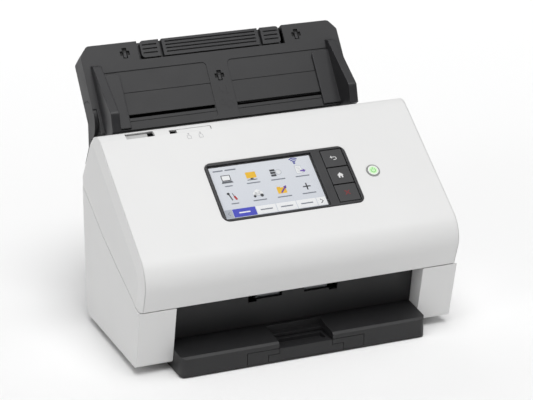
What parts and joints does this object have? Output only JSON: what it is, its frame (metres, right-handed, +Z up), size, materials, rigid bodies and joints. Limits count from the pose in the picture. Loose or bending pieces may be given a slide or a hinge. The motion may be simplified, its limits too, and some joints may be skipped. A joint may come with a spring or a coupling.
{
  "type": "sheet fed document scanner",
  "caption": "Desktop sheet fed document scanner with a tilting front cover, touch panel, folding paper tray with sliding guides and pull-out output tray.",
  "frame": {"origin": "centre of the bounding box in plan, at the underside of the feet", "axes": "+X to the right across the width, +Y to the rear, +Z up; the control panel and exit face -Y"},
  "size_m": [0.299, 0.2438, 0.2353],
  "materials": {
    "shell_white": "fine textured off-white moulding",
    "tray_charcoal": "fine textured charcoal moulding",
    "dark_inner": "satin black moulding",
    "panel_dark": "satin dark grey",
    "button_dark": "satin dark grey key",
    "display_glass": "clear touch window",
    "lcd": "lit display",
    "power_white": "white key",
    "ring_green": "lit green ring",
    "rubber_dark": "soft dark rubber",
    "rubber_grey": "grey roller rubber",
    "steel": "ground steel",
    "metal": "motor case",
    "board": "circuit board",
    "glass_dark": "scanning glass",
    "grey_plastic": "grey moulding"
  },
  "bodies": {
    "base": {"base_pan": "dark_inner", "side_cover_right": "shell_white", "side_cover_left": "shell_white", "cover_pin_right": "steel", "cover_pin_left": "steel", "rear_housing": "dark_inner", "tray_pin_right": "steel", "tray_pin_left": "steel", "hopper_floor": "tray_charcoal", "exit_wall": "dark_inner", "lower_guide_plate": "dark_inner", "lower_scan_unit": "dark_inner", "lower_scan_glass": "glass_dark", "main_board": "board", "feed_motor": "metal", "motor_belt": "rubber_dark", "transfer_belt": "rubber_dark", "power_jack": "dark_inner", "usb_port": "dark_inner", "foot_front_left": "rubber_dark", "foot_front_right": "rubber_dark", "foot_rear_left": "rubber_dark", "foot_rear_right": "rubber_dark", "output_tray": "dark_inner"},
    "motor_pulley": {"motor_pulley": "steel"},
    "feed_shaft": {"feed_shaft": "steel", "feed_roller_right": "rubber_grey", "feed_roller_left": "rubber_grey"},
    "exit_shaft": {"exit_shaft": "steel", "exit_roller_right": "rubber_grey", "exit_roller_left": "rubber_grey"},
    "separation_roller": {"separation_roller": "rubber_grey"},
    "output_middle": {"output_middle": "dark_inner"},
    "output_inner": {"output_inner": "dark_inner"},
    "cover": {"cover_skin": "shell_white", "cover_side_right": "shell_white", "cover_side_left": "shell_white", "upper_guide_plate": "dark_inner", "upper_scan_unit": "dark_inner", "upper_scan_glass": "glass_dark", "panel_bezel": "panel_dark", "display_window": "display_glass", "lcd_module": "lcd", "power_ring": "ring_green"},
    "feed_pinch_rollers": {"feed_pinch_rollers": "grey_plastic"},
    "exit_pinch_rollers": {"exit_pinch_rollers": "grey_plastic"},
    "pickup_roller": {"pickup_roller": "rubber_grey"},
    "back_button": {"back_button": "button_dark"},
    "home_button": {"home_button": "button_dark"},
    "stop_button": {"stop_button": "button_dark"},
    "power_button": {"power_button": "power_white"},
    "release_lever": {"release_lever": "shell_white"},
    "feed_selector": {"feed_selector": "shell_white"},
    "tray": {"tray_plate": "tray_charcoal", "tray_shell": "tray_charcoal"},
    "guide_left": {"guide_left": "tray_charcoal"},
    "guide_right": {"guide_right": "tray_charcoal"},
    "guide_pinion": {"guide_pinion": "grey_plastic"},
    "tray_extension_outer": {"tray_extension_outer": "tray_charcoal"},
    "tray_extension_inner": {"tray_extension_inner": "tray_charcoal"}
  },
  "joints": [
    {"name": "cover_hinge", "type": "hinge", "parent": "base", "child": "cover", "pos_m": [0, -0.11023, 0.069], "axis": [1, 0, 0], "range_deg": [0, 50]},
    {"name": "tray_hinge", "type": "hinge", "parent": "base", "child": "tray", "pos_m": [0, 0.07923, 0.17331], "axis": [-1, 0, 0], "range_deg": [-109, 0]},
    {"name": "guide_left_slide", "type": "slide", "parent": "tray", "child": "guide_left", "axis": [1, 0, 0], "range_m": [0, 0.08]},
    {"name": "guide_right_slide", "type": "slide", "parent": "tray", "child": "guide_right", "axis": [-1, 0, 0], "range_m": [0, 0.08]},
    {"name": "guide_pinion_spin", "type": "hinge", "parent": "tray", "child": "guide_pinion", "pos_m": [0, 0.07178, 0.18377], "axis": [0, -0.8049, 0.5934], "range_deg": [-800, 10]},
    {"name": "tray_extension_outer_slide", "type": "slide", "parent": "tray", "child": "tray_extension_outer", "axis": [0, 0.5934, 0.8049], "range_m": [0, 0.036]},
    {"name": "tray_extension_inner_slide", "type": "slide", "parent": "tray_extension_outer", "child": "tray_extension_inner", "axis": [0, 0.5934, 0.8049], "range_m": [0, 0.034]},
    {"name": "output_middle_slide", "type": "slide", "parent": "base", "child": "output_middle", "axis": [0, -1, 0], "range_m": [0, 0.075]},
    {"name": "output_inner_slide", "type": "slide", "parent": "output_middle", "child": "output_inner", "axis": [0, -1, 0], "range_m": [0, 0.07]},
    {"name": "back_button_press", "type": "slide", "parent": "cover", "child": "back_button", "axis": [0, 0.585, -0.8111], "range_m": [0, 0.0008], "stiffness_N_per_m": 400, "springref_m": -0.0003},
    {"name": "home_button_press", "type": "slide", "parent": "cover", "child": "home_button", "axis": [0, 0.585, -0.8111], "range_m": [0, 0.0008], "stiffness_N_per_m": 400, "springref_m": -0.0003},
    {"name": "stop_button_press", "type": "slide", "parent": "cover", "child": "stop_button", "axis": [0, 0.585, -0.8111], "range_m": [0, 0.0008], "stiffness_N_per_m": 400, "springref_m": -0.0003},
    {"name": "power_button_press", "type": "slide", "parent": "cover", "child": "power_button", "axis": [0, 0.585, -0.8111], "range_m": [0, 0.0008], "stiffness_N_per_m": 400, "springref_m": -0.0003},
    {"name": "release_lever_slide", "type": "slide", "parent": "cover", "child": "release_lever", "axis": [1, 0, 0], "range_m": [0, 0.0045], "stiffness_N_per_m": 150, "springref_m": -0.001},
    {"name": "feed_selector_slide", "type": "slide", "parent": "cover", "child": "feed_selector", "axis": [-1, 0, 0], "range_m": [0, 0.0065]},
    {"name": "motor_spin", "type": "hinge", "parent": "base", "child": "motor_pulley", "pos_m": [-0.108, 0.00557, 0.062], "axis": [1, 0, 0], "continuous": true},
    {"name": "feed_spin", "type": "hinge", "parent": "base", "child": "feed_shaft", "pos_m": [0, 0.00171, 0.10839], "axis": [1, 0, 0], "continuous": true},
    {"name": "exit_spin", "type": "hinge", "parent": "base", "child": "exit_shaft", "pos_m": [0, -0.08278, 0.05491], "axis": [1, 0, 0], "continuous": true},
    {"name": "separation_spin", "type": "hinge", "parent": "base", "child": "separation_roller", "pos_m": [0, 0.02528, 0.11977], "axis": [1, 0, 0], "continuous": true},
    {"name": "feed_pinch_spin", "type": "hinge", "parent": "cover", "child": "feed_pinch_rollers", "pos_m": [0, -0.00594, 0.12048], "axis": [1, 0, 0], "continuous": true},
    {"name": "exit_pinch_spin", "type": "hinge", "parent": "cover", "child": "exit_pinch_rollers", "pos_m": [0, -0.09043, 0.06699], "axis": [1, 0, 0], "continuous": true},
    {"name": "pickup_spin", "type": "hinge", "parent": "cover", "child": "pickup_roller", "pos_m": [0, 0.01442, 0.13692], "axis": [1, 0, 0], "continuous": true}
  ],
  "couplings": [
    {"joint": "guide_right_slide", "follows": "guide_left_slide", "ratio": 1},
    {"joint": "guide_pinion_spin", "follows": "guide_left_slide", "rad_per_m": -166.67},
    {"joint": "motor_spin", "follows": "feed_spin", "ratio": 1},
    {"joint": "exit_spin", "follows": "feed_spin", "ratio": 1}
  ]
}
